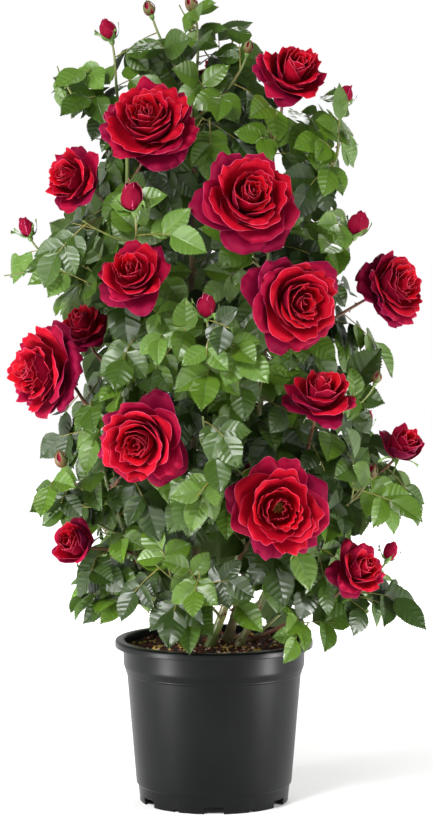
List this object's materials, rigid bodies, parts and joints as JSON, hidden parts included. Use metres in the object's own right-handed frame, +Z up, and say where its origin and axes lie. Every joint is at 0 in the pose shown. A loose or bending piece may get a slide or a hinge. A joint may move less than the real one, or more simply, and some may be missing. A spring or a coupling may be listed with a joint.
{
  "type": "potted rose bush",
  "caption": "Red garden rose grown upright in a round nursery pot, with slender canes, full double blooms, buds and glossy leaves all round.",
  "frame": {"origin": "centre of the pot's flat underside, on the ground", "axes": "+Z up along the plant, front of the plant towards -Y, +X to the right seen from the front"},
  "size_m": [0.5998, 0.5157, 1.1398],
  "materials": {
    "pot_plastic": "satin black moulded plastic",
    "potting_soil": "moist bark compost with pale chips",
    "cane": "green to brown rose bark",
    "petals": "velvety crimson petals",
    "foliage": "glossy dark green leaves"
  },
  "bodies": {
    "root": {"pot": "pot_plastic", "soil": "potting_soil", "cane_front": "cane", "cane_left_low": "cane", "cane_rear_right": "cane", "cane_right_low": "cane", "cane_middle": "cane", "cane_left": "cane", "cane_right": "cane", "cane_rear_left": "cane", "rose_upper_left": "petals", "rose_upper_middle": "petals", "rose_right_middle": "petals", "rose_left_middle": "petals", "rose_lower_right": "petals", "rose_far_left": "petals", "rose_behind_far_left": "petals", "rose_left_upper": "petals", "rose_small_left": "petals", "rose_top_right": "petals", "rose_far_right": "petals", "rose_right_lower": "petals", "rose_half_open_right": "petals", "rose_low_right": "petals", "rose_half_open_left": "petals", "rose_top_rear": "petals", "rose_rear_upper": "petals", "rose_rear_right": "petals", "rose_rear_left": "petals", "rose_rear_low": "petals", "shoot_top_left": "foliage", "shoot_top_middle_left": "foliage", "shoot_top_middle": "foliage", "shoot_top_right": "foliage", "shoot_top_rear": "foliage", "shoot_upper_left": "foliage", "shoot_upper_right": "foliage", "shoot_right_bud": "foliage", "shoot_left_bud": "foliage", "shoot_front_upper": "foliage", "shoot_front_middle": "foliage", "shoot_left": "foliage", "shoot_right_lower": "foliage", "shoot_right_low": "foliage", "shoot_right": "foliage", "shoot_left_lower": "foliage", "shoot_left_low": "foliage", "shoot_front_low": "foliage", "shoot_front": "foliage", "shoot_right_foot": "foliage", "shoot_middle_upper": "foliage", "shoot_middle_left": "foliage", "shoot_middle_right": "foliage", "shoot_rear_top": "foliage", "shoot_rear_upper_right": "foliage", "shoot_rear_middle": "foliage", "shoot_rear_far_left": "foliage", "shoot_rear_far_right": "foliage", "shoot_rear_low": "foliage", "shoot_rear_right_low": "foliage"}
  },
  "joints": []
}
